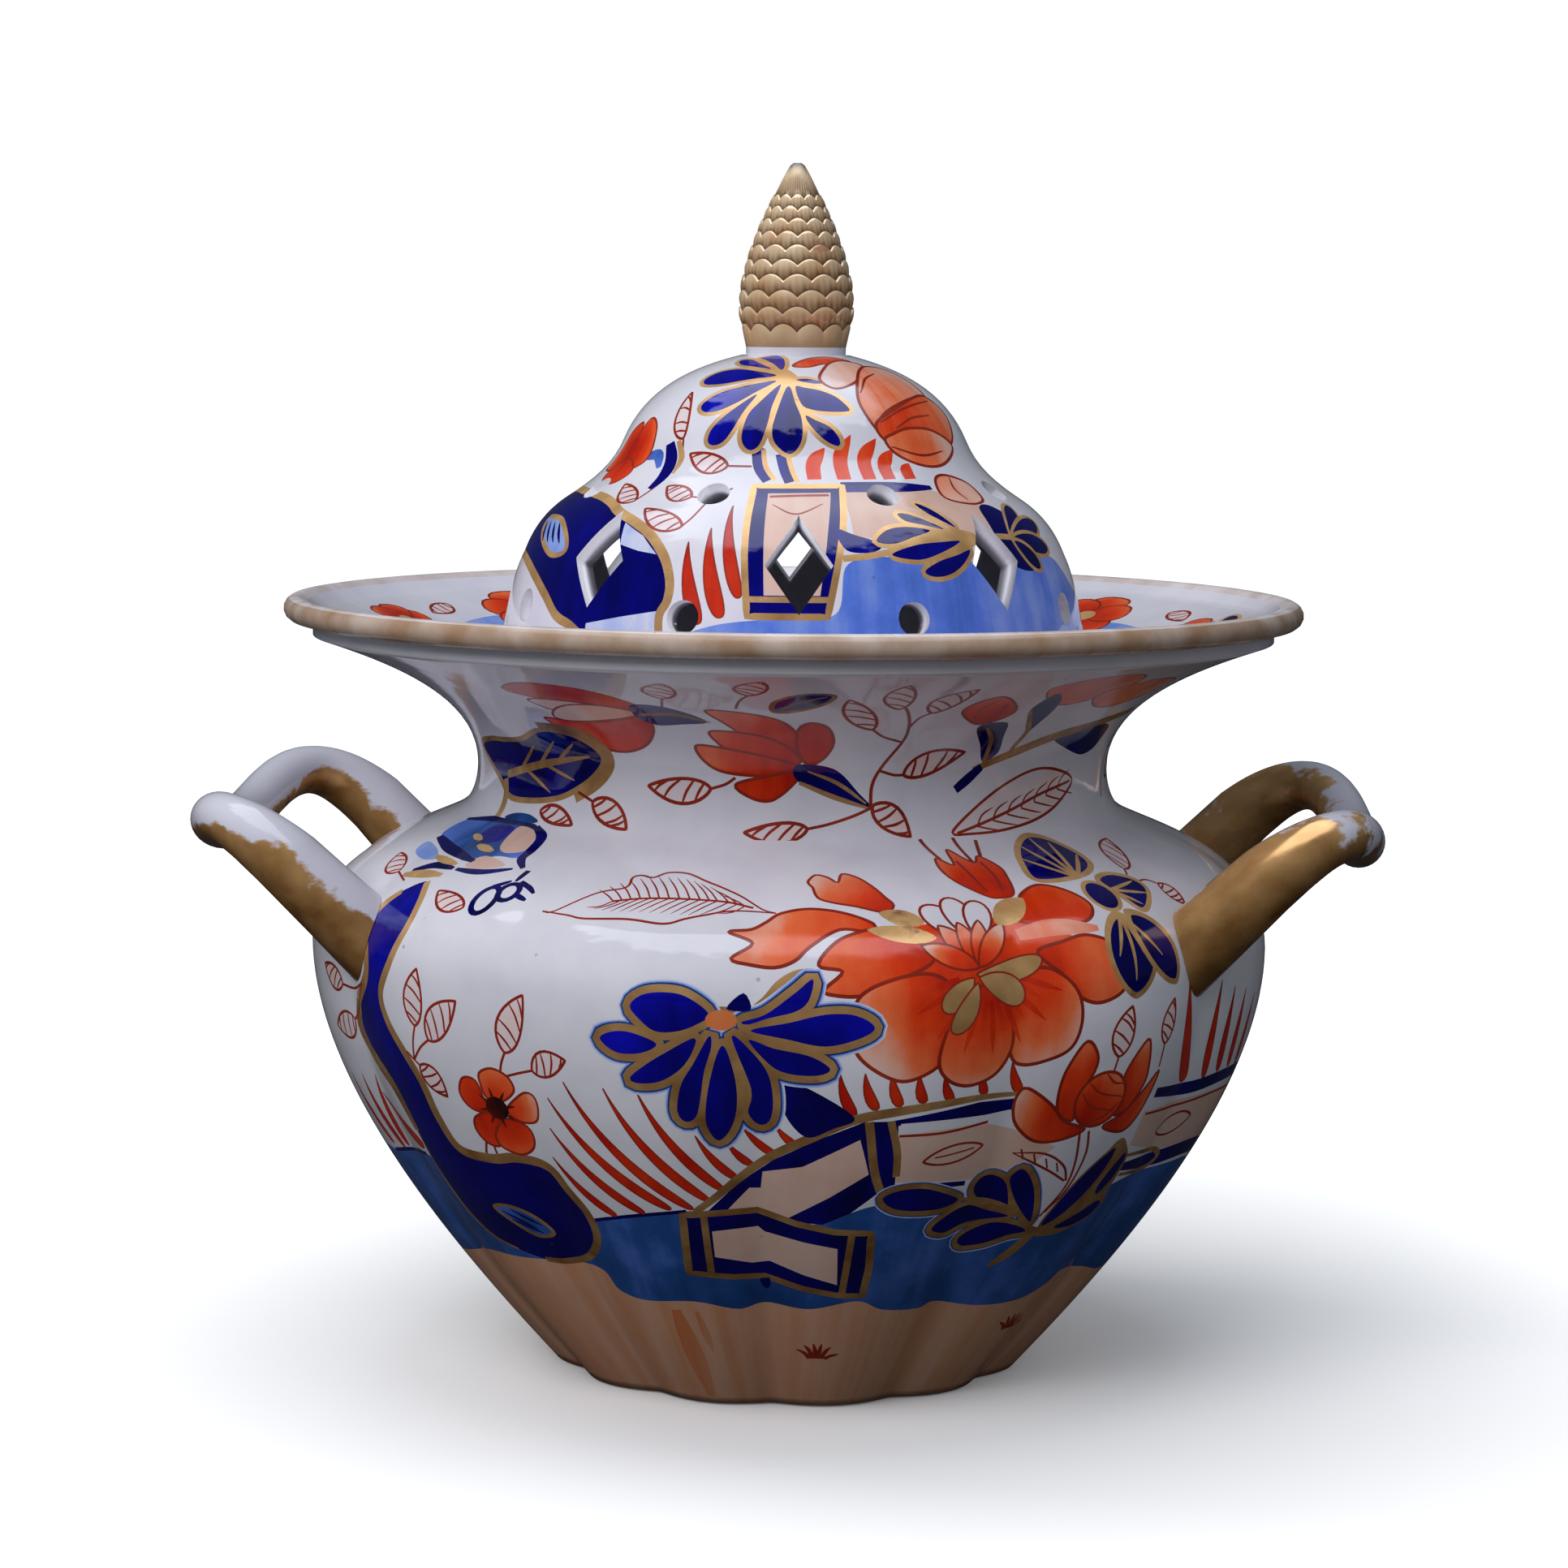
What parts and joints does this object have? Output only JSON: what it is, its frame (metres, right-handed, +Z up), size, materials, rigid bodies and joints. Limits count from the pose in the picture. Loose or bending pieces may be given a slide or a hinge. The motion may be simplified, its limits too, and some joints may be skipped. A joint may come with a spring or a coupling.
{
  "type": "potpourri vase",
  "caption": "Melon-lobed pottery vase with flared rim, twin rod handles and a lift-off pierced dome cover with bud finial, painted in cobalt, iron red and gilt, for scented petals.",
  "frame": {"origin": "on the table, under the middle of the foot", "axes": "+Z up along the vase's axis, X through the two handles, -Y towards the front of the painting"},
  "size_m": [0.2456, 0.2118, 0.25],
  "materials": {
    "glazed_ware": "glossy clear glaze over blue-white pottery",
    "gilding": "worn gilding over glaze"
  },
  "bodies": {
    "vase": {"bowl": "glazed_ware", "foot_disc": "glazed_ware", "neck": "glazed_ware", "handle_left": "gilding", "handle_right": "gilding"},
    "lid": {"cover": "glazed_ware", "cover_flange": "glazed_ware", "finial": "gilding"}
  },
  "joints": [
    {"name": "cover_lift", "type": "slide", "parent": "vase", "child": "lid", "axis": [0, 0, 1], "range_m": [0, 0.12]}
  ]
}
